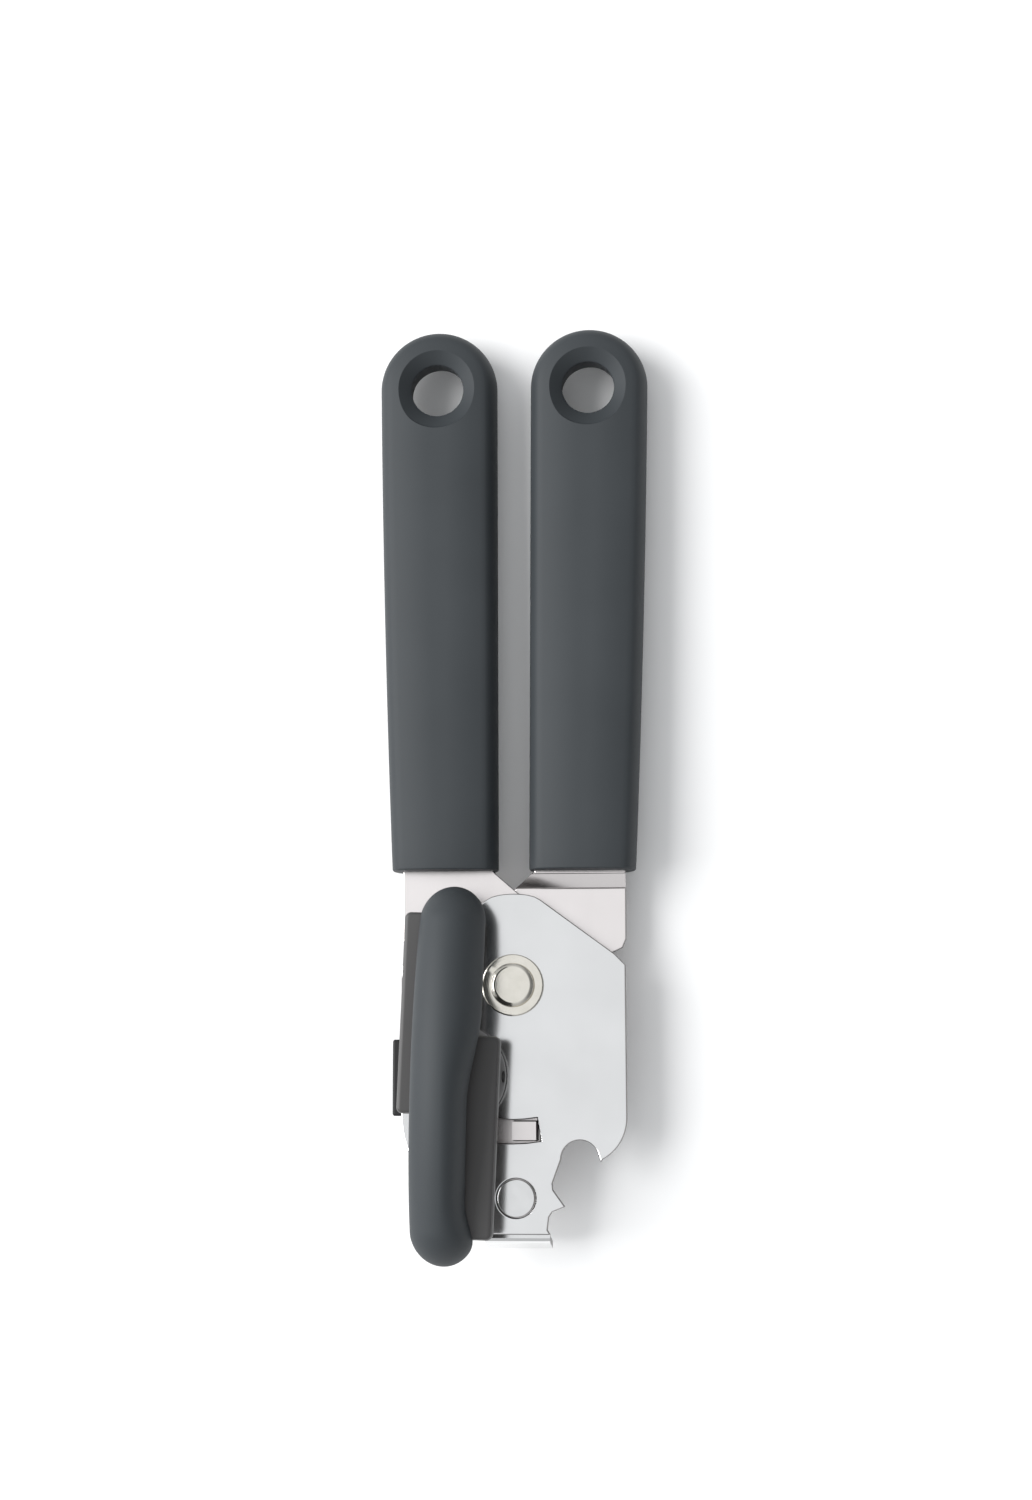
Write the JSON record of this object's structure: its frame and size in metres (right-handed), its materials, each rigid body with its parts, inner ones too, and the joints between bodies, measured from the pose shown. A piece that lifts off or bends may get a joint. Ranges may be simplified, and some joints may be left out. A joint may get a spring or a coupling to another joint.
{
  "type": "manual can opener",
  "caption": "Plier-style can opener: hinged plastic-gripped arms, steel head with cutting wheel, feed wheel, turning knob and bottle opener.",
  "frame": {"origin": "middle of the bounding box's underside, with the plates level", "axes": "+Y along the closed handles towards their hanging holes, +Z from the plates towards the knob, +X towards the bottle opener's side"},
  "size_m": [0.0606, 0.209, 0.0422],
  "materials": {
    "soft_touch_grip": "soft-touch, matte",
    "knob_core_plastic": "fine moulded satin",
    "black_nylon": "moulded nylon",
    "polished_steel": "polished stainless steel",
    "satin_steel": "satin stainless steel",
    "nickel": "nickel plated, warm tone",
    "tool_steel": "hardened, ground"
  },
  "bodies": {
    "left_arm": {"left_grip": "soft_touch_grip", "cutter_plate": "satin_steel", "face_plate": "polished_steel", "pivot_collar": "nickel", "pivot_washer": "tool_steel", "pivot_rivet": "nickel", "face_rivet": "polished_steel", "cutter_stud": "tool_steel", "cutter_spacer": "satin_steel", "cutter_spring_washer": "tool_steel"},
    "right_arm": {"right_grip": "soft_touch_grip", "drive_plate": "satin_steel", "shaft_bush": "nickel", "rest_pad": "black_nylon"},
    "drive": {"drive_shaft": "tool_steel", "feed_washer": "tool_steel", "feed_wheel": "tool_steel", "knob_washer": "nickel", "knob_core": "knob_core_plastic", "knob_cover": "soft_touch_grip", "knob_pin": "tool_steel"},
    "cutter": {"cutter_wheel": "tool_steel"}
  },
  "joints": [
    {"name": "handle_hinge", "type": "hinge", "parent": "left_arm", "child": "right_arm", "pos_m": [0, -0.04395, 0.0122], "axis": [0, 0, -1], "range_deg": [0, 20]},
    {"name": "knob_spin", "type": "hinge", "parent": "right_arm", "child": "drive", "pos_m": [-0.0127, -0.06375, 0.0122], "axis": [0, 0, 1], "continuous": true},
    {"name": "cutter_spin", "type": "hinge", "parent": "left_arm", "child": "cutter", "pos_m": [0.0046, -0.06395, 0.0051], "axis": [0, 0, 1], "continuous": true}
  ]
}
